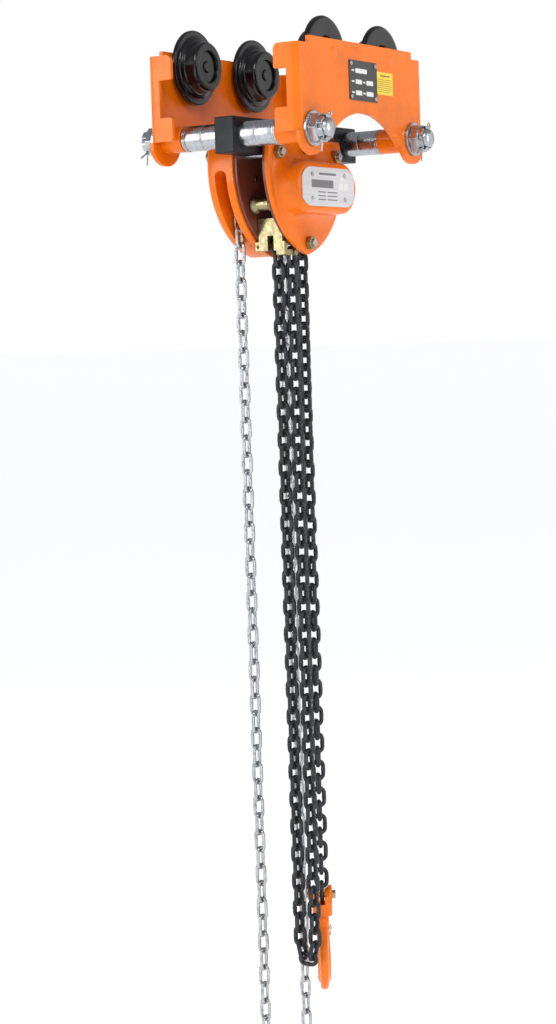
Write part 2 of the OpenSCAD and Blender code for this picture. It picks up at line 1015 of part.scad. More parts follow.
module hook() {
    color("darkorange")
        at_hook(bowl_z) {
            difference() {
                union() {
                    translate([-6, 0, 0])
                        rotate([90, 0, 90])
                            linear_extrude(12)
                                hook_outline(0);
                    translate([-9.8, 0, 0])
                        rotate([90, 0, 90])
                            linear_extrude(19.6)
                                hook_outline(8);
                }
                translate([-14, 6, 42])
                    rotate([0, 90, 0])
                        cylinder(d = 4.02, h = 28);
            }
            translate([0, 0, 60])
                cylinder(r = 7.5, h = 13);
            translate([0, 0, 66.4])
                cylinder(r = 10.5, h = 6.5);
        }
}

module hook_latch() {
    color("#b8b8ba")
        at_hook(bowl_z)
            translate([0, 6, 42])
                rotate([21.3, 0, 0])
                    difference() {
                        union() {
                            for (s = [-1, 1])
                                translate([s * 10.9 - 0.7, 0, 0])
                                    rotate([0, 90, 0])
                                        cylinder(r = 5, h = 1.4);
                            for (s = [-1, 1])
                                translate([s * 10.9 - 0.7, -1, -13])
                                    cube([1.4, 4.5, 12]);
                            translate([-11.6, -1, -13])
                                cube([23.2, 1.6, 5]);
                            translate([-7, -1, -29])
                                cube([14, 1.6, 18]);
                        }
                        translate([-20, 0, 0])
                            rotate([0, 90, 0])
                                cylinder(d = 4.1, h = 40);
                    }
}

module latch_pin() {
    color("silver")
        at_hook(bowl_z)
            translate([-14, 6, 42])
                rotate([0, 90, 0]) {
                    cylinder(d = 4, h = 27);
                    cylinder(d = 6, h = 2);
                }
}

side_plate_front();
side_plate_rear();
wheel_front_left();
wheel_front_right();
wheel_rear_left();
wheel_rear_right();
wheel_axles();
wheel_bearings();
cross_bars();
bar_sleeves();
spacer_tubes();
bar_washers();
castle_nuts();
split_pins();
suspension_block();
suspension_pin();
data_plate();
plate_rivets();
warning_label();
frame_plate_gear();
frame_plate_hand();
stay_bolts();
stay_tubes();
stay_nuts();
gear_cover();
name_plate();
load_sheave();
sheave_bearings();
load_gear();
drive_shaft();
intermediate_gear_left();
intermediate_gear_right();
friction_hub();
friction_discs();
ratchet_disc();
pawl_left();
pawl_right();
pawl_posts();
hand_wheel();
hand_wheel_nut();
hand_wheel_cover();
stripper();
guide_roller_left();
guide_roller_right();
roller_pins();
anchor_pin();
load_chain_wrap();
load_chain_hook_fall();
load_chain_live();
load_chain_bend();
load_chain_dead();
hand_chain_wrap();
hand_chain_front_fall();
hand_chain_rear_fall();
hand_chain_bend();
hook_yoke();
hook_bolt();
hook();
hook_latch();
latch_pin();
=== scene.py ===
import json
import math
import bmesh
import bpy
import numpy
from mathutils import Matrix, Vector


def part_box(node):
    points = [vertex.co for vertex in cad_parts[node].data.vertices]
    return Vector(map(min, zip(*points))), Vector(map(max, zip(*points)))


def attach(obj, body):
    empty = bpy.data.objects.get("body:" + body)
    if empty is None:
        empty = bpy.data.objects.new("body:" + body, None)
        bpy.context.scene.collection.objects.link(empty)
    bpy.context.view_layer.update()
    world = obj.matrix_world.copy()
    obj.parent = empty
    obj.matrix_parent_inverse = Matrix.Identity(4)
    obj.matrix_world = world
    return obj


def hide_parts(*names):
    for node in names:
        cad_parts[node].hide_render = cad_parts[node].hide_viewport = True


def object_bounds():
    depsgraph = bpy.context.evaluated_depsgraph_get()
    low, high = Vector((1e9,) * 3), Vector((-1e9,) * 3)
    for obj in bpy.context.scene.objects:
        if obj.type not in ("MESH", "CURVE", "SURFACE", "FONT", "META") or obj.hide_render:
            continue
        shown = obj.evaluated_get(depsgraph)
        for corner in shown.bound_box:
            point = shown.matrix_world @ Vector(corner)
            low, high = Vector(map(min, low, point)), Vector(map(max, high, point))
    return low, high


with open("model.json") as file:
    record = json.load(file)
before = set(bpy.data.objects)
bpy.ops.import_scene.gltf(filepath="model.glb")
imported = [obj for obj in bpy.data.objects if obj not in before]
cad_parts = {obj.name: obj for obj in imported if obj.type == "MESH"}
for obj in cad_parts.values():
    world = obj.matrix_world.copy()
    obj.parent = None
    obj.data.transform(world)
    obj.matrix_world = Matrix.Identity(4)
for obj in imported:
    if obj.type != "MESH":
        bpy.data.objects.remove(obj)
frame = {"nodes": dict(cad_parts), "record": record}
cad_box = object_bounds()

NODES = frame["nodes"]
RECORD = frame["record"]
SLOT_OF = {part["node"]: part["material_slot"] for part in RECORD["subparts"]}
BODY_OF = {node: body for body, members in RECORD["behaviour"]["bodies"].items()
           for node in members}
WHEELS = ["wheel_front_left", "wheel_front_right", "wheel_rear_left", "wheel_rear_right"]
MM = 0.001
WELD = 2e-6
# The photograph's direction of view, in degrees from +Y. The hook hangs edge on to it.
PHOTO_AZIMUTH = -57.6

# Rounding of hard edges, in millimetres, where it isn't 0.3.
BEVELS = {
    "side_plate_front": 1.2, "side_plate_rear": 1.2, "suspension_block": 1.6, "hook_latch": 0.4,
    "stripper": 0.6, "castle_nuts": 0.6, "stay_nuts": 0.6, "bar_washers": 0.4, "bar_sleeves": 0.5,
    "name_plate": 0.25, "data_plate": 0.2, "warning_label": 0.05, "frame_plate_gear": 0.5,
    "frame_plate_hand": 0.5, "hand_wheel": 0.6,
}
# Nodes with narrow corners, where the rounding has to stop before it folds over.
CLAMPED = ["side_plate_front", "side_plate_rear", "split_pins"]
# The left pawl's CAD solid is in two touching halves, so it is drawn as the right one mirrored.
TWINS = {"pawl_left": "pawl_right"}
# Nodes with a maker of their own.
REBUILT = WHEELS + ["cross_bars", "spacer_tubes", "gear_cover", "hand_wheel_cover", "hook",
                    "hook_yoke"]


# ---------------------------------------------------------------- camera, light, floor

def make_camera():
    """Camera at the photograph's place: off the beam's end, level with the falls of chain."""
    place = (-2.7808, -1.7262, -0.3383)
    azimuth, pitch, roll = (math.radians(a) for a in (PHOTO_AZIMUTH, -4.08, -1.88))
    forward = Vector((-math.sin(azimuth) * math.cos(pitch),
                      math.cos(azimuth) * math.cos(pitch), math.sin(pitch)))
    level = Vector((math.cos(azimuth), math.sin(azimuth), 0))
    upright = level.cross(forward)
    right = level * math.cos(roll) + upright * math.sin(roll)
    up = upright * math.cos(roll) - level * math.sin(roll)
    data = bpy.data.cameras.new("camera")
    data.sensor_width = 36
    data.lens = 83.95
    camera = bpy.data.objects.new("camera", data)
    bpy.context.scene.collection.objects.link(camera)
    turn = Matrix((right, up, -forward)).transposed().to_4x4()
    camera.matrix_world = Matrix.Translation(place) @ turn
    bpy.context.scene.camera = camera


def area_light(name, place, target, size, watts):
    """A soft rectangular lamp at place, turned to shine on target."""
    data = bpy.data.lights.new(name, "AREA")
    data.shape = "RECTANGLE"
    data.size, data.size_y = size
    data.energy = watts
    lamp = bpy.data.objects.new(name, data)
    lamp.location = place
    lamp.rotation_euler = (Vector(target) - Vector(place)).to_track_quat("-Z", "Y").to_euler()
    bpy.context.scene.collection.objects.link(lamp)


def make_lights():
    """Four soft lamps."""
    middle = (0, 0, -0.1)
    area_light("key", (-2.0, -1.9, 1.9), middle, (1.0, 1.0), 34)
    area_light("side", (-2.3, 1.6, 0.3), middle, (0.5, 2.2), 20)
    area_light("fill", (1.2, -3.0, 0.2), middle, (1.0, 1.6), 15)
    area_light("low", (-2.2, -1.8, -1.1), (0, 0, -0.9), (1.0, 1.6), 9)


def make_world():
    """White surroundings that turn grey overhead, so that metal has something to mirror."""
    world = bpy.data.worlds.new("studio")
    bpy.context.scene.world = world
    bpy.context.scene.view_settings.view_transform = "Standard"
    world.use_nodes = True
    tree = world.node_tree
    back = tree.nodes["Background"]
    where = tree.nodes.new("ShaderNodeTexCoord")
    split = tree.nodes.new("ShaderNodeSeparateXYZ")
    ramp = tree.nodes.new("ShaderNodeValToRGB")
    horizon, overhead = ramp.color_ramp.elements
    horizon.position = 0.26
    horizon.color = (1, 1, 1, 1)
    overhead.position = 0.42
    overhead.color = (0.34, 0.345, 0.36, 1)
    tree.links.new(where.outputs["Generated"], split.inputs[0])
    tree.links.new(split.outputs["Z"], ramp.inputs[0])
    tree.links.new(ramp.outputs[0], back.inputs["Color"])
    back.inputs["Strength"].default_value = 1.0


def make_floor():
    """A pale floor just below the hand chain, wide enough to reach the horizon."""
    size, gap = 400, 0.012
    level = cad_box[0].z - gap
    mesh = bpy.data.meshes.new("floor")
    mesh.from_pydata([(-size, -size, level), (size, -size, level), (size, size, level),
                      (-size, size, level)], [], [(0, 1, 2, 3)])
    floor = bpy.data.objects.new("floor", mesh)
    bpy.context.scene.collection.objects.link(floor)
    surface = Surface("pale_floor", (0.93, 0.93, 0.93), rough=0.9)
    surface.bump(40, 0.0004)
    surface.shader.inputs["Emission Color"].default_value = (1, 1, 1, 1)
    surface.shader.inputs["Emission Strength"].default_value = 0.56
    mesh.materials.append(surface.material)


# ---------------------------------------------------------------- materials

class Surface:
    """A Principled material that is given its detail by noise in the object's own space."""

    def __init__(self, name, color, metal=0.0, rough=0.5, coat=0.0, coat_rough=0.1, specular=0.5):
        self.name = name
        self.material = bpy.data.materials.new(name)
        self.material.use_nodes = True
        self.tree = self.material.node_tree
        self.shader = self.tree.nodes["Principled BSDF"]
        self.shader.inputs["Base Color"].default_value = (*color, 1)
        self.shader.inputs["Metallic"].default_value = metal
        self.shader.inputs["Roughness"].default_value = rough
        self.shader.inputs["Coat Weight"].default_value = coat
        self.shader.inputs["Coat Roughness"].default_value = coat_rough
        self.shader.inputs["Specular IOR Level"].default_value = specular
        self.where = self.tree.nodes.new("ShaderNodeTexCoord").outputs["Object"]
        self.last_bump = None

    def noise(self, scale, detail, stretch=None):
        """Noise in the object's own space; stretch draws it out along an axis."""
        node = self.tree.nodes.new("ShaderNodeTexNoise")
        node.inputs["Scale"].default_value = scale
        node.inputs["Detail"].default_value = detail
        source = self.where
        if stretch:
            mapping = self.tree.nodes.new("ShaderNodeMapping")
            mapping.inputs["Scale"].default_value = stretch
            self.tree.links.new(source, mapping.inputs[0])
            source = mapping.outputs[0]
        self.tree.links.new(source, node.inputs["Vector"])
        return node.outputs["Fac"]

    def colors(self, stops, scale, detail, stretch=None):
        """Blotches of colour, from stops of (noise level, colour)."""
        node = self.tree.nodes.new("ShaderNodeValToRGB")
        while len(node.color_ramp.elements) < len(stops):
            node.color_ramp.elements.new(0.5)
        for element, (level, color) in zip(node.color_ramp.elements, stops):
            element.position = level
            element.color = (*color, 1)
        self.tree.links.new(self.noise(scale, detail, stretch), node.inputs[0])
        self.tree.links.new(node.outputs[0], self.shader.inputs["Base Color"])

    def roughness(self, low, high, scale):
        """Patches of sharper and duller gloss."""
        node = self.tree.nodes.new("ShaderNodeMapRange")
        node.inputs["From Min"].default_value = 0.3
        node.inputs["From Max"].default_value = 0.7
        node.inputs["To Min"].default_value = low
        node.inputs["To Max"].default_value = high
        self.tree.links.new(self.noise(scale, 5), node.inputs["Value"])
        self.tree.links.new(node.outputs[0], self.shader.inputs["Roughness"])

    def bump(self, scale, height, stretch=None):
        """Fine relief, added to any relief that is there already."""
        node = self.tree.nodes.new("ShaderNodeBump")
        node.inputs["Strength"].default_value = 1.0
        node.inputs["Distance"].default_value = height
        self.tree.links.new(self.noise(scale, 3, stretch), node.inputs["Height"])
        if self.last_bump:
            self.tree.links.new(self.last_bump, node.inputs["Normal"])
        self.last_bump = node.outputs["Normal"]
        self.tree.links.new(self.last_bump, self.shader.inputs["Normal"])

    def worn(self, name, color):
        """Mixes towards bare metal where the mesh attribute says that the surface rubs."""
        attribute = self.tree.nodes.new("ShaderNodeAttribute")
        attribute.attribute_name = name
        base = self.shader.inputs["Base Color"]
        mix = self.tree.nodes.new("ShaderNodeMix")
        mix.data_type = "RGBA"
        self.tree.links.new(base.links[0].from_socket, mix.inputs["A"])
        mix.inputs["B"].default_value = (*color, 1)
        self.tree.links.new(attribute.outputs["Fac"], mix.inputs["Factor"])
        self.tree.links.new(mix.outputs["Result"], base)


def paint(name, color, rough, coat, peel=0.00002, specular=0.35):
    """Powder coat: orange-peel ripple, faint tone changes and small dust specks."""
    surface = Surface(name, color, rough=rough, coat=coat, coat_rough=0.08, specular=specular)
    dark = tuple(c * 0.86 for c in color)
    light = tuple(min(1, c * 1.06) for c in color)
    grime = tuple(c * 0.62 for c in color)
    surface.colors([(0.24, grime), (0.34, dark), (0.5, color), (0.68, light)], 13, 7)
    surface.roughness(rough - 0.05, rough + 0.12, 60)
    surface.bump(420, peel)
    surface.bump(2600, peel * 0.25)
    return surface


def plated(name, low, high, rough):
    """Plated or bare metal: cloudy tone, uneven gloss and a fine grain."""
    surface = Surface(name, high, metal=1.0, rough=rough)
    light = tuple(min(1, c * 1.08) for c in high)
    surface.colors([(0.3, low), (0.52, high), (0.7, light)], 140, 6)
    surface.roughness(rough - 0.04, rough + 0.08, 84)
    surface.bump(980, 0.000015)
    return surface


def yellow_zinc():
    """Passivated zinc: clouds of olive, gold and pink."""
    surface = Surface("yellow_zinc", (0.7, 0.6, 0.3), metal=1.0, rough=0.3)
    surface.colors([(0.28, (0.2, 0.16, 0.07)), (0.45, (0.35, 0.3, 0.15)),
                    (0.58, (0.32, 0.3, 0.17)), (0.7, (0.36, 0.25, 0.15))], 70, 5)
    surface.roughness(0.24, 0.44, 220)
    surface.bump(900, 0.000015)
    return surface


def black_chain():
    """Blackened steel, worn bright inside the links' crowns."""
    surface = Surface("black_chain", (0.03, 0.031, 0.034), metal=0.55, rough=0.38)
    surface.colors([(0.3, (0.016, 0.017, 0.02)), (0.55, (0.038, 0.04, 0.045)),
                    (0.75, (0.065, 0.066, 0.07))], 190, 6)
    surface.worn("rub", (0.16, 0.16, 0.17))
    surface.roughness(0.3, 0.52, 320)
    surface.bump(1300, 0.00003)
    return surface


def friction():
    """Pressed brake lining with coarse flecks."""
    surface = Surface("friction", (0.1, 0.05, 0.025), rough=0.85)
    surface.colors([(0.35, (0.06, 0.03, 0.018)), (0.6, (0.16, 0.09, 0.045))], 900, 4)
    surface.bump(1500, 0.00006)
    return surface


def black_plate():
    """Enamelled data plate."""
    surface = Surface("black_plate", (0.008, 0.008, 0.009), coat=0.3)
    surface.roughness(0.24, 0.42, 120)
    surface.bump(1600, 0.000008)
    return surface


def silver_plate():
    """Name plate brushed along X."""
    surface = Surface("silver_plate", (0.5, 0.5, 0.51), metal=0.35, rough=0.42)
    surface.colors([(0.3, (0.56, 0.56, 0.57)), (0.7, (0.68, 0.68, 0.69))], 300, 4, (0.05, 1, 1))
    surface.bump(1800, 0.000012, (0.04, 1, 1))
    return surface


def yellow_label():
    """Printed film."""
    surface = Surface("yellow_label", (0.88, 0.62, 0.02), rough=0.38, coat=0.2)
    surface.colors([(0.3, (0.82, 0.56, 0.015)), (0.7, (0.9, 0.66, 0.03))], 60, 4)
    surface.bump(700, 0.00001)
    return surface


def ink(name, color, low, high):
    """Print on a plate, with its gloss between low and high roughness."""
    surface = Surface(name, color)
    surface.roughness(low, high, 500)
    return surface


def make_materials():
    """Every material by name. CAD slots bear the same names; the inks have no slot."""
    surfaces = [
        paint("orange_paint", (0.85, 0.168, 0.002), 0.26, 0.15, specular=0.2),
        # inner_paint is the orange paint darkened to maroon: painted shade for the inner faces
        # that lie in shadow.
        paint("inner_paint", (0.17, 0.035, 0.02), 0.36, 0.2),
        paint("black_paint", (0.009, 0.01, 0.014), 0.4, 0.06, 0.00003, 0.2),
        paint("black_wheel", (0.004, 0.004, 0.005), 0.2, 0.3, 0.00001, 0.25),
        # wheel_rust is not rust: it is the hand wheel's orange paint darkened to brown, as painted
        # shade for the wheel inside its cover.
        paint("wheel_rust", (0.2, 0.048, 0.01), 0.4, 0.15, 0.00005),
        plated("zinc", (0.33, 0.345, 0.37), (0.46, 0.475, 0.5), 0.24),
        plated("bright_chain", (0.3, 0.31, 0.33), (0.47, 0.485, 0.5), 0.2),
        plated("steel", (0.2, 0.2, 0.21), (0.38, 0.38, 0.4), 0.32),
        plated("bronze", (0.35, 0.22, 0.08), (0.62, 0.42, 0.18), 0.35),
        yellow_zinc(), black_chain(), friction(), black_plate(), silver_plate(), yellow_label(),
        ink("ink_grey", (0.16, 0.16, 0.17), 0.42, 0.6),
        ink("ink_white", (0.72, 0.72, 0.7), 0.38, 0.55),
        ink("ink_brown", (0.3, 0.17, 0.02), 0.42, 0.6),
    ]
    return {surface.name: surface.material for surface in surfaces}


# ---------------------------------------------------------------- mesh helpers

def finish_piece(obj, node, material=None, replace=True):
    """Gives a new piece its material, by default the one named after its node's slot, and its
    body, and hides the CAD node it stands for.
    """
    slot = SLOT_OF[node]
    obj.data.materials.append(MATERIALS[material or slot])
    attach(obj, BODY_OF[node])
    if replace:
        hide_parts(node)


def object_from(name, bm, sharp=math.radians(35)):
    """A smooth-shaded object from a bmesh, with edges over the sharp angle kept hard."""
    mesh = bpy.data.meshes.new(name)
    bm.normal_update()
    for edge in bm.edges:
        if len(edge.link_faces) == 2:
            edge.smooth = edge.calc_face_angle(0) < sharp
    for face in bm.faces:
        face.smooth = True
    bm.to_mesh(mesh)
    bm.free()
    obj = bpy.data.objects.new(name, mesh)
    bpy.context.scene.collection.objects.link(obj)
    return obj


def cad_copy(node):
    """The CAD node's mesh, or its twin's mirrored in the Y-Z plane, as one joined skin."""
    bm = bmesh.new()
    bm.from_mesh(NODES[TWINS.get(node, node)].data)
    bmesh.ops.remove_doubles(bm, verts=bm.verts, dist=WELD)
    if node in TWINS:
        bmesh.ops.scale(bm, vec=(-1, 1, 1), verts=bm.verts)
        bmesh.ops.reverse_faces(bm, faces=bm.faces)
    return bm


def refine(node):
    """The CAD solid with its flat faces made whole and its hard edges rounded."""
    bm = cad_copy(node)
    bmesh.ops.dissolve_limit(bm, angle_limit=math.radians(0.4), verts=bm.verts, edges=bm.edges)
    obj = object_from(node + "_piece", bm)
    bevel = obj.modifiers.new("bevel", "BEVEL")
    bevel.width = BEVELS.get(node, 0.3) * MM
    bevel.segments = 2
    bevel.limit_method = "ANGLE"
    bevel.angle_limit = math.radians(28)
    bevel.use_clamp_overlap = node in CLAMPED
    bevel.miter_outer = "MITER_ARC"
    weighted = obj.modifiers.new("normals", "WEIGHTED_NORMAL")
    weighted.keep_sharp = True
    finish_piece(obj, node)


def bake(obj, sharp=math.radians(35)):
    """Applies the modifiers, joins the skin and marks the hard edges of what they leave."""
    evaluated = obj.evaluated_get(bpy.context.evaluated_depsgraph_get())
    mesh = bpy.data.meshes.new_from_object(evaluated)
    obj.modifiers.clear()
    bm = bmesh.new()
    bm.from_mesh(mesh)
    bmesh.ops.remove_doubles(bm, verts=bm.verts, dist=WELD)
    for edge in bm.edges:
        edge.smooth = len(edge.link_faces) == 2 and edge.calc_face_angle(0) < sharp
    for face in bm.faces:
        face.smooth = True
    bm.to_mesh(mesh)
    bm.free()
    obj.data = mesh


def cast(node):
    """The CAD solid with its edges melted round, the way a casting or forging has them."""
    grain, passes = 0.55 * MM, 5
    obj = object_from(node + "_cast", cad_copy(node))
    remesh = obj.modifiers.new("grain", "REMESH")
    remesh.mode = "VOXEL"
    remesh.voxel_size = grain
    smooth = obj.modifiers.new("melt", "SMOOTH")
    smooth.factor = 0.5
    smooth.iterations = passes
    bake(obj, math.radians(80))
    finish_piece(obj, node)


def islands(node):
    """The separate solids of a CAD node, as lists of points."""
    bm = cad_copy(node)
    seen, groups = set(), []
    for start in bm.verts:
        if start in seen:
            continue
        seen.add(start)
        stack, group = [start], []
        while stack:
            vert = stack.pop()
            group.append(vert.co.copy())
            for edge in vert.link_edges:
                other = edge.other_vert(vert)
                if other not in seen:
                    seen.add(other)
                    stack.append(other)
        groups.append(group)
    bm.free()
    return groups


# ---------------------------------------------------------------- chains

def link_frame(points):
    """Centre, long axis and side axis of a link, from the spread of its points."""
    cloud = numpy.array([tuple(p) for p in points])
    spread = cloud - cloud.mean(axis=0)
    axes = numpy.linalg.eigh(spread.T @ spread)[1]
    along, across = axes[:, 2], axes[:, 1]
    middle = cloud.mean(axis=0)
    for axis in (along, across):
        reach = (cloud - middle) @ axis
        middle = middle + axis * (reach.max() + reach.min()) / 2
    if along[2] < 0:
        along = -along
    if across[0] + 0.3 * across[1] < 0:
        across = -across
    return Vector(middle), Vector(along), Vector(across)


def add_link(bm, rub, points, wire):
    """One welded link: an oval of round wire with a weld collar on one leg."""
    crown_steps, ring_steps = 14, 12
    collar_height, collar_reach = 0.22 * MM, 0.37
    centre, along, across = link_frame(points)
    half = max(abs((p - centre).dot(along)) for p in points)
    side = max(abs((p - centre).dot(across)) for p in points)
    normal = along.cross(across)
    radius = wire / 2
    bend = side - radius
    straight = half - side
    route = []
    for end in (1, -1):
        for i in range(crown_steps + 1):
            a = math.pi * i / crown_steps
            route.append((end * bend * math.cos(a), end * (straight + bend * math.sin(a)),
                          end * math.cos(a), end * math.sin(a), math.sin(a)))
        for k in (0.72, 0.4, 0.34, 0.12, -0.12, -0.34, -0.4, -0.72):
            route.append((-end * bend, end * straight * k, -end, 0, 0))
    rings = []
    for x, y, nx, ny, crown in route:
        welded = nx == 1 and ny == 0 and abs(y) < straight * collar_reach
        thick = radius + (collar_height if welded else 0)
        ring = []
        for j in range(ring_steps):
            t = 2 * math.pi * j / ring_steps
            offset = math.cos(t) * thick
            place = (centre + across * (x + nx * offset) + along * (y + ny * offset)
                     + normal * (math.sin(t) * thick))
            vert = bm.verts.new(place)
            vert[rub] = crown ** 2 * max(0.0, -math.cos(t)) ** 1.5
            ring.append(vert)
        rings.append(ring)
    for i, a in enumerate(rings):
        b = rings[(i + 1) % len(rings)]
        for j in range(ring_steps):
            k = (j + 1) % ring_steps
            bm.faces.new((a[j], a[k], b[k], b[j]))


def make_chain(node, wire):
    """Every link of a CAD chain node, drawn anew in its place."""
    bm = bmesh.new()
    rub = bm.verts.layers.float.new("rub")
    for points in islands(node):
        add_link(bm, rub, points, wire)
    bmesh.ops.recalc_face_normals(bm, faces=bm.faces)
    finish_piece(object_from(node + "_links", bm, sharp=math.radians(80)), node)


def make_chains():
    """Both chains, each by the thickness of its wire."""
    for node in NODES:
        if node.startswith("load_chain"):
            make_chain(node, 6 * MM)
        if node.startswith("hand_chain"):
            make_chain(node, 4.7 * MM)


# ---------------------------------------------------------------- turned pieces

def add_lathe(bm, profile, x, z, steps):
    """Turns a closed outline of (radius, y) pairs, in millimetres, round an axis along Y."""
    rings = []
    for radius, y in profile:
        if radius < 1e-6:
            rings.append([bm.verts.new((x * MM, y * MM, z * MM))])
            continue
        ring = []
        for i in range(steps):
            a = 2 * math.pi * i / steps
            ring.append(bm.verts.new(((x + radius * math.cos(a)) * MM, y * MM,
                                      (z + radius * math.sin(a)) * MM)))
        rings.append(ring)
    pairs = list(zip(rings, rings[1:]))
    if len(rings[0]) > 1:
        pairs.append((rings[-1], rings[0]))
    for a, b in pairs:
        for i in range(steps):
            j = (i + 1) % steps
            if len(a) == 1 and len(b) > 1:
                bm.faces.new((a[0], b[j], b[i]))
            elif len(b) == 1 and len(a) > 1:
                bm.faces.new((a[i], a[j], b[0]))
            elif len(a) > 1:
                bm.faces.new((a[i], a[j], b[j], b[i]))


def join_loops(bm, loops):
    """Skins the gaps between neighbouring loops of vertices."""
    for a, b in zip(loops, loops[1:]):
        for i in range(len(a)):
            j = (i + 1) % len(a)
            bm.faces.new((a[i], a[j], b[j], b[i]))


def rounded(points, radius, steps=4):
    """An open outline with its inner corners rounded, by up to radius."""
    out = [points[0]]
    for before, here, after in zip(points, points[1:], points[2:]):
        a, b = Vector(before) - Vector(here), Vector(after) - Vector(here)
        reach = min(radius, a.length * 0.45, b.length * 0.45)
        start, end = Vector(here) + a.normalized() * reach, Vector(here) + b.normalized() * reach
        for i in range(steps + 1):
            t = i / steps
            out.append(tuple(start * (1 - t) ** 2 + Vector(here) * 2 * t * (1 - t) + end * t * t))
    out.append(points[-1])
    return out


def make_wheel(node):
    """Flanged trolley wheel with turned steps, a worn tread and a recessed bearing seat."""
    low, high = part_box(node)
    x, z = (low.x + high.x) / 2 / MM, (low.z + high.z) / 2 / MM
    side = -1 if low.y < 0 else 1
    flange = (high.z - low.z) / 2 / MM
    profile = [(8.6, 84.5), (20.8, 84.5), (21, 83.5), (21.2, 79.6), (22.4, 78.5), (30.6, 78.5),
               (32.2, 79.4), (33.6, 81.4), (34, 84.5), (34.3, 88), (35.1, 93.4), (36.2, 95.2),
               (39.6, 96.2), (41.6, 97.2), (42.6, 98.6), (48.6, 98.8), (flange - 0.3, 99.6),
               (flange, 101), (flange, 103.6), (flange - 1.6, 105.8), (46, 106.5), (24, 106.5),
               (22, 104), (8.6, 104)]
    bm = bmesh.new()
    add_lathe(bm, [(r, side * y) for r, y in rounded(profile, 0.9)], x, z, 144)
    bmesh.ops.recalc_face_normals(bm, faces=bm.faces)
    finish_piece(object_from(node + "_turned", bm), node)


def make_cross_bars():
    """Both cross bars, with chamfered ends and threads cut as far as the side plates."""
    low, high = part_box("cross_bars")
    radius, pitch, depth, thread_end = 12, 2, 0.75, 117
    z = (low.z + high.z) / 2 / MM
    x = (high.x / MM) - radius
    end = high.y / MM
    half = [(0, -end), (radius - 1.8, -end), (radius - 0.4, -end + 1.4)]
    y = -end + 1.8
    while y < -thread_end:
        half += [(radius, y), (radius - depth, y + pitch / 2)]
        y += pitch
    half.append((radius, y))
    profile = half + [(r, -y) for r, y in reversed(half)]
    bm = bmesh.new()
    for side in (-1, 1):
        add_lathe(bm, profile, side * x, z, 48)
    bmesh.ops.recalc_face_normals(bm, faces=bm.faces)
    finish_piece(object_from("cross_bars_threaded", bm, sharp=math.radians(60)), "cross_bars")


def make_spacer_tubes():
    """Spacer tubes with slightly rounded ends."""
    bm = bmesh.new()
    for points in islands("spacer_tubes"):
        ys = [p.y / MM for p in points]
        xs = [p.x / MM for p in points]
        zs = [p.z / MM for p in points]
        x, z = (min(xs) + max(xs)) / 2, (min(zs) + max(zs)) / 2
        a, b = min(ys), max(ys)
        outline = [(12.15, a + 0.4), (12.6, a), (16.2, a), (16.7, a + 0.5), (16.8, a + 1.2),
                   (16.8, b - 1.2), (16.7, b - 0.5), (16.2, b), (12.6, b), (12.15, b - 0.4)]
        add_lathe(bm, outline, x, z, 72)
    bmesh.ops.recalc_face_normals(bm, faces=bm.faces)
    finish_piece(object_from("spacer_tubes_rolled", bm), "spacer_tubes")


# ---------------------------------------------------------------- covers of the hoist

# Heights, radii and depths in millimetres. The shield outline is two arcs of radius ARC_R about
# points ARC_C to the far side of the middle, cut off flat at SHIELD_TOP.
AXIS_Z = -133
ARC_R, ARC_C, ARC_Z = 121.7, 26, -103
SHIELD_TOP = -66
PIN_RISE, PIN_NOTCH_R = 60, 13
BULGE_LENGTH, BULGE_R = 80, 35
FAR = 1e9
STEPS = [2 * math.pi * i / 320 for i in range(320)]


def shield_radius(dx, dz, inset):
    """Distance from the hoist axis to the shield outline in the direction (dx, dz)."""
    reach = FAR
    for side in (-1, 1):
        ox, oz = -side * ARC_C, AXIS_Z - ARC_Z
        along = ox * dx + oz * dz
        reach = min(reach, -along + math.sqrt(along ** 2 - ox ** 2 - oz ** 2
                                              + (ARC_R - inset) ** 2))
    if dz > 1e-9:
        reach = min(reach, (SHIELD_TOP - inset - AXIS_Z) / dz)
    return reach


def pin_notch(dx, dz, reach, inset):
    """Cuts the outline back round the suspension pin, straight above the axis."""
    radius = PIN_NOTCH_R + inset
    if dz <= 0 or abs(dx) * PIN_RISE >= radius:
        return reach
    return min(reach, PIN_RISE * dz - math.sqrt(radius ** 2 - (PIN_RISE * dx) ** 2))


def bar_radius(dx, dz, length, radius):
    """Distance from the axis to a round-ended bar outline."""
    flat = radius / abs(dz) if abs(dz) > 1e-9 else FAR
    centre = length - radius
    if abs(dx) * flat <= centre:
        return flat
    along = centre * abs(dx)
    return along + math.sqrt(along ** 2 - centre ** 2 + radius ** 2)


def soft_min(a, b, k):
    """The smaller of a and b, blended where they are within k of each other."""
    h = max(0.0, min(1.0, 0.5 + 0.5 * (b - a) / k))
    return b * (1 - h) + a * h - k * h * (1 - h)


def shield(inset):
    """Shield outline with the notch for the suspension pin."""
    return lambda dx, dz: pin_notch(dx, dz, shield_radius(dx, dz, inset), inset)


def bar(inset):
    """Round-ended outline of the gear cover's bulge."""
    return lambda dx, dz: bar_radius(dx, dz, BULGE_LENGTH - inset, BULGE_R - inset)


def ring(reach):
    """Radii of an outline for every step round the hoist axis."""
    return [reach(math.cos(a), math.sin(a)) for a in STEPS]


def relaxed(radii, passes):
    """The radii with their bumps evened out."""
    for _ in range(passes):
        radii = [(radii[i - 1] + 2 * r + radii[(i + 1) % len(radii)]) / 4
                 for i, r in enumerate(radii)]
    return radii


def skin(bm, rings):
    """Joins rings of (radii, y) round the hoist axis and closes both ends."""
    loops = [[bm.verts.new((r * math.cos(a) * MM, y * MM, (AXIS_Z + r * math.sin(a)) * MM))
              for r, a in zip(radii, STEPS)] for radii, y in rings]
    join_loops(bm, loops)
    for loop, (radii, y) in ((loops[0], rings[0]), (loops[-1], rings[-1])):
        middle = bm.verts.new((0, y * MM, AXIS_Z * MM))
        for here, after in zip(loop, loop[1:] + loop[:1]):
            bm.faces.new((here, after, middle))
    bmesh.ops.recalc_face_normals(bm, faces=bm.faces)


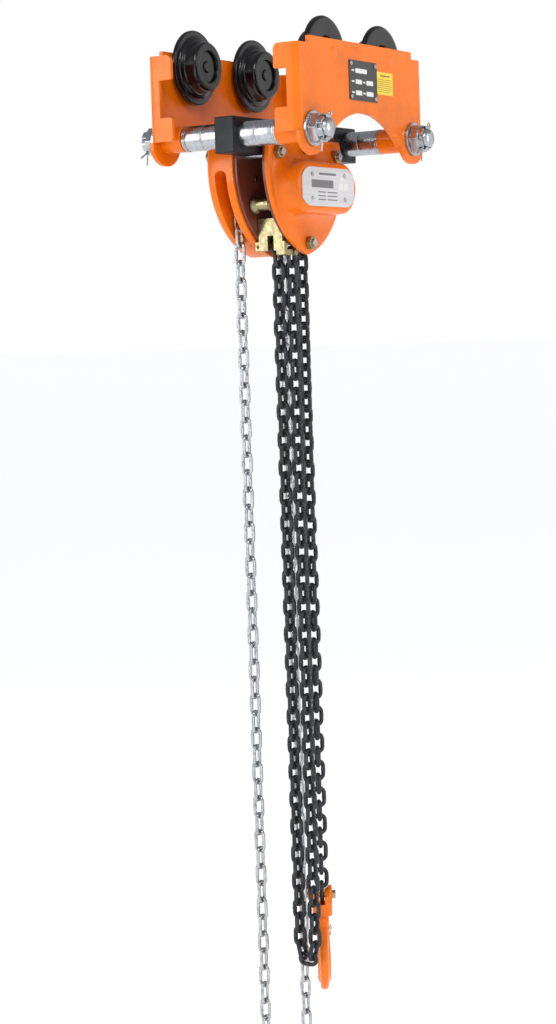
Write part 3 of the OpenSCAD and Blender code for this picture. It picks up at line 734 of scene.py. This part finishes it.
def make_gear_cover():
    """Pressed cover: a lipped flange that flares up smoothly into a round-ended bulge."""
    quarter = math.pi / 2
    flange_back, flange_front, flare_height, bulge_front, corner = -19, -25.1, 17, -58, 9
    rings = [(ring(shield(0)), flange_back), (ring(shield(0)), -23.4), (ring(shield(0.5)), -24.5),
             (ring(shield(1.6)), -25)]
    foot = ring(lambda dx, dz: max(soft_min(shield(5.5)(dx, dz), bar(0)(dx, dz) + 34, 22),
                                   bar(0)(dx, dz) + 2.5))
    foot = relaxed(foot, 24)
    wall = ring(bar(0))
    for k in range(13):
        a = k / 12 * quarter
        share = math.sin(a) ** 1.15
        radii = [f * (1 - share) + w * share for f, w in zip(foot, wall)]
        rings.append((radii, flange_front - flare_height * (1 - math.cos(a))))
    rings += [(ring(bar(0.1)), -44.5), (ring(bar(0.25)), -48.6)]
    for k in range(1, 8):
        a = k / 7 * quarter
        inset = 0.25 + (corner - 0.25) * (1 - math.cos(a))
        rings.append((ring(bar(inset)), bulge_front + corner - corner * math.sin(a)))
    rings += [(ring(bar(14)), bulge_front), (ring(bar(22)), bulge_front)]
    bm = bmesh.new()
    skin(bm, rings)
    finish_piece(object_from("gear_cover_pressed", bm, sharp=math.radians(50)), "gear_cover")


def add_slot(bm, x0, x1, y0, y1, z0, z1, corner):
    """Cutter for a chain slot through the rim, rounded at its upper end."""
    outline = [(y0, z0), (y1, z0)]
    for cy, start in ((y1 - corner, 0), (y0 + corner, 90)):
        for k in range(9):
            a = math.radians(start + 11.25 * k)
            outline.append((cy + corner * math.cos(a), z1 - corner + corner * math.sin(a)))
    near = [bm.verts.new((x0 * MM, y * MM, z * MM)) for y, z in outline]
    far = [bm.verts.new((x1 * MM, y * MM, z * MM)) for y, z in outline]
    bm.faces.new(near)
    bm.faces.new(list(reversed(far)))
    for i in range(len(outline)):
        j = (i + 1) % len(outline)
        bm.faces.new((near[j], near[i], far[i], far[j]))


def drum(inset):
    """Ring of the hand wheel cover's outline, which has no notch."""
    return ring(lambda dx, dz: shield_radius(dx, dz, inset))


def round_edge(inset, y, corner, steps):
    """Rings that turn the drum's wall over into its face."""
    angles = [k / steps * math.pi / 2 for k in range(1, steps + 1)]
    return [(drum(inset + corner * (1 - math.cos(a))), y + corner * math.sin(a)) for a in angles]


def make_hand_cover():
    """Hand wheel cover: a round-edged drum with a chain slot on each side."""
    rings = [(drum(9), 31.4), (drum(-1.6), 31), (drum(-2), 31.4), (drum(-2), 32.6),
             (drum(-1.4), 33.2), (drum(0), 34.2), (drum(0), 50), (drum(0), 66)]
    rings += round_edge(0, 66, 11, 8)
    rings += [(drum(19), 77), (drum(20.5), 76.6), (drum(22), 75.8), (drum(23.5), 75.6),
              (drum(60), 75.6)]
    bm = bmesh.new()
    skin(bm, rings)
    obj = object_from("hand_wheel_cover_drum", bm)
    cutter = bmesh.new()
    skin(cutter, [(drum(3), 29), (drum(3), 64)] + round_edge(3, 64, 9, 4))
    hollow = object_from("hollow_cutter", cutter)
    cutter = bmesh.new()
    for side in (-1, 1):
        add_slot(cutter, side * 34, side * 130, 43, 61.5, -232, -108, 8)
    add_lathe(cutter, [(0, 26), (12, 26), (12, 38.5), (0, 38.5)], 0, AXIS_Z + PIN_RISE, 48)
    bmesh.ops.recalc_face_normals(cutter, faces=cutter.faces)
    slots = object_from("slot_cutter", cutter)
    for other in (hollow, slots):
        cut = obj.modifiers.new("cut", "BOOLEAN")
        cut.operation = "DIFFERENCE"
        cut.solver = "EXACT"
        cut.object = other
    bake(obj)
    for other in (hollow, slots):
        bpy.data.objects.remove(other)
    finish_piece(obj, "hand_wheel_cover")


def make_axle_caps():
    """Painted-over ends of the riveted wheel axles, on the side plates' outer faces."""
    plate_face = 117.3
    bm = bmesh.new()
    for node in WHEELS:
        low, high = (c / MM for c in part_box(node))
        side = -1 if low.y < 0 else 1
        y = side * plate_face
        rim = [(0, y), (8.1, y), (8.1, y + side * 0.1), (7.6, y + side * 0.4), (0, y + side * 0.5)]
        add_lathe(bm, rim, (low.x + high.x) / 2, (low.z + high.z) / 2, 48)
    bmesh.ops.recalc_face_normals(bm, faces=bm.faces)
    finish_piece(object_from("axle_caps_painted", bm), "side_plate_front", replace=False)


# ---------------------------------------------------------------- plates with blank fields

def add_plate(bm, x0, x1, z0, z1, y, thick):
    """A thin round-cornered tab whose back is at y and that faces -Y."""
    corner = min(0.6, (x1 - x0) / 2.01, (z1 - z0) / 2.01)
    outline = []
    for cx, cz, start in ((x1 - corner, z1 - corner, 0), (x0 + corner, z1 - corner, 90),
                          (x0 + corner, z0 + corner, 180), (x1 - corner, z0 + corner, 270)):
        for k in range(4):
            a = math.radians(start + 30 * k)
            outline.append((cx + corner * math.cos(a), cz + corner * math.sin(a)))
    front = [bm.verts.new((x * MM, (y - thick) * MM, z * MM)) for x, z in outline]
    back = [bm.verts.new((x * MM, y * MM, z * MM)) for x, z in outline]
    bm.faces.new(front)
    bm.faces.new(list(reversed(back)))
    count = len(outline)
    for i in range(count):
        j = (i + 1) % count
        bm.faces.new((front[j], front[i], back[i], back[j]))


def make_fields(name, node, material, boxes, thick=0.12):
    """Blank fields or plain bars printed on a plate."""
    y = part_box(node)[0].y / MM
    bm = bmesh.new()
    for x0, x1, z0, z1 in boxes:
        add_plate(bm, x0, x1, z0, z1, y, thick)
    bmesh.ops.recalc_face_normals(bm, faces=bm.faces)
    finish_piece(object_from(name, bm), node, material, replace=False)


def make_data_plate_prints():
    """Three rows of blank fields, each field behind a short mark."""
    low, high = (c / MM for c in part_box("data_plate"))
    x, z = low.x, high.z
    fields = []
    for row, spans in enumerate((((16, 46),), ((16, 32), (44, 62)), ((16, 32), (44, 62)))):
        top = z - 10.5 - row * 14.5
        fields += [(x + a, x + b, top - 6, top) for a, b in spans]
    make_fields("data_plate_fields", "data_plate", "ink_white", fields)
    marks = []
    for row in range(3):
        top = z - 12.4 - row * 14.5
        marks.append((x + 6, x + 13, top - 2, top))
        if row:
            marks.append((x + 35, x + 41.5, top - 2, top))
    make_fields("data_plate_marks", "data_plate", "ink_white", marks)


def make_label_prints():
    """A heading bar over lines of uneven length."""
    low, high = (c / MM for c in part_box("warning_label"))
    bars = [(low.x + 8, high.x - 8, high.z - 6, high.z - 3.6)]
    for k in range(7):
        short = 9 if k in (2, 6) else 3
        z = high.z - 9.5 - 2.7 * k
        bars.append((low.x + 3, high.x - short, z - 0.9, z))
    make_fields("warning_label_bars", "warning_label", "ink_brown", bars, 0.03)


def make_name_plate_prints():
    """Plain bars and blank blocks where a maker's print would be."""
    z = AXIS_Z
    make_fields("name_plate_bars", "name_plate", "ink_grey",
                [(-24, 20, z + 15.5, z + 18.5), (-44, 12, z - 1.5, z + 9)])
    lines = [(a, b, z - 8 - 5 * k, z - 6.4 - 5 * k) for a, b in ((-28, -8), (-4, 22))
             for k in range(3)]
    make_fields("name_plate_lines", "name_plate", "ink_grey", lines, 0.08)
    make_fields("name_plate_blank", "name_plate", "ink_white",
                [(26, 38, z - 3, z + 6), (40, 50, z - 3, z + 6), (30, 42, z + 10, z + 14)], 0.08)


# ---------------------------------------------------------------- hook

# Half outlines of the hook's section as shares of its half depth and half width, from its inner
# side to its outer side. Places on the hook are millimetres from the middle of its bowl.
HOOK_SECTION = [(-1, 0), (-1, 0.5), (-0.92, 0.78), (-0.74, 0.96), (-0.5, 1), (-0.2, 0.98),
                (-0.02, 0.86), (0.1, 0.68), (0.28, 0.6), (0.7, 0.57), (0.9, 0.44), (0.98, 0.22),
                (1, 0)]
ROUND_SECTION = [(-math.cos(math.pi * i / 12), math.sin(math.pi * i / 12)) for i in range(13)]
BOWL_R, BACK_R, BACK_OUT, BACK_UP = 19, 42, 3, 1
NECK_R, SHANK_TOP = 9, 72.9


# A station is a place on the centre line, the direction outwards, the half depth, the half width
# and how round its section is.

def hook_shank():
    """Stations down the swivel head and the shank, from pairs of height and radius."""
    turned = [(72.8, 0.2), (72.8, 9.8), (72.2, 10.4), (67, 10.4), (66.5, 9.8), (66.4, 7.4),
              (61, 7.4), (60.3, 8.2), (58.5, NECK_R)]
    return [((0, height), (-1, 0), radius, radius, 1) for height, radius in turned]


def hook_neck():
    """Stations down the curve from the shank to the back of the bowl."""
    pull = 15
    start, end = Vector((0, 54)), Vector((-27.2, 15.8))
    c1, c2 = start + Vector((0, -pull)), end + Vector((0.5, 0.866)) * pull
    stations = []
    for i in range(9):
        t = i / 8
        place = (start * (1 - t) ** 3 + c1 * 3 * t * (1 - t) ** 2 + c2 * 3 * t * t * (1 - t)
                 + end * t ** 3)
        slope = ((c1 - start) * (1 - t) ** 2 + (c2 - c1) * 2 * t * (1 - t)
                 + (end - c2) * t ** 2).normalized()
        stations.append((place, (slope.y, -slope.x), NECK_R + 3.5 * t * t, NECK_R + 0.7 * t,
                         1 - 0.85 * t))
    return stations


def share_of(turn, start, span):
    """How far a turn has come through a span of degrees, from 0 to 1."""
    return max(0, min(1, (turn - start) / span))


def hook_bowl():
    """Stations round the bowl to its tip, which slims down and ends round."""
    first, sweep, steps = 150, 246, 40
    cap_start, cap_length = 378, 18.2
    stations = []
    for i in range(1, steps + 1):
        turn = first + sweep * i / steps
        dx, dz = math.cos(math.radians(turn)), math.sin(math.radians(turn))
        along = BACK_OUT * dx + BACK_UP * dz
        outer = -along + math.sqrt(along ** 2 - BACK_OUT ** 2 - BACK_UP ** 2 + BACK_R ** 2)
        slim = 0.16 * share_of(turn, 290, 70)
        outer = BOWL_R + (outer - BOWL_R) * (1 - slim)
        capped = max(0, turn - cap_start) / cap_length
        cap = math.sqrt(1 - capped ** 2)
        middle, half = (outer + BOWL_R) / 2, (outer - BOWL_R) / 2
        wide = 9.7 - 1.6 * share_of(turn, 290, 80)
        stations.append(((middle * dx, middle * dz), (dx, dz), half * cap, wide * cap,
                         0.15 + 3.75 * slim))
    return stations


def make_hook():
    """Forged hook with a ribbed back, lofted along its centre line."""
    turn = math.radians(PHOTO_AZIMUTH)
    fall_y = 6
    chain_low, chain_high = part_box("load_chain_hook_fall")
    bowl = Vector(((chain_low.x + chain_high.x) / 2, fall_y * MM,
                   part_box("hook")[1].z - SHANK_TOP * MM))
    along = Vector((-math.sin(turn), math.cos(turn), 0))
    across = Vector((math.cos(turn), math.sin(turn), 0))
    upwards = Vector((0, 0, 1))
    bm = bmesh.new()
    rings = []
    for (y, h), (oy, oh), depth, width, roundness in hook_shank() + hook_neck() + hook_bowl():
        half = [(u * (1 - roundness) + cu * roundness, w * (1 - roundness) + cw * roundness)
                for (u, w), (cu, cw) in zip(HOOK_SECTION, ROUND_SECTION)]
        outline = half + [(u, -w) for u, w in half[-2:0:-1]]
        rings.append([bm.verts.new(bowl + along * (y + oy * u * depth) * MM
                                   + upwards * (h + oh * u * depth) * MM
                                   + across * w * width * MM) for u, w in outline])
    join_loops(bm, rings)
    bm.faces.new(rings[0])
    bm.faces.new(list(reversed(rings[-1])))
    bmesh.ops.recalc_face_normals(bm, faces=bm.faces)
    obj = object_from("hook_forged", bm, sharp=math.radians(75))
    smooth = obj.modifiers.new("smooth", "SUBSURF")
    smooth.levels = smooth.render_levels = 1
    finish_piece(obj, "hook")


# ---------------------------------------------------------------- build

MATERIALS = make_materials()
make_camera()
make_lights()
make_world()
make_floor()
make_chains()

for node in NODES:
    if "chain" not in node and node not in REBUILT:
        refine(node)
for node in WHEELS:
    make_wheel(node)
make_cross_bars()
make_spacer_tubes()
make_gear_cover()
make_hand_cover()
make_axle_caps()
make_hook()
cast("hook_yoke")
make_data_plate_prints()
make_label_prints()
make_name_plate_prints()
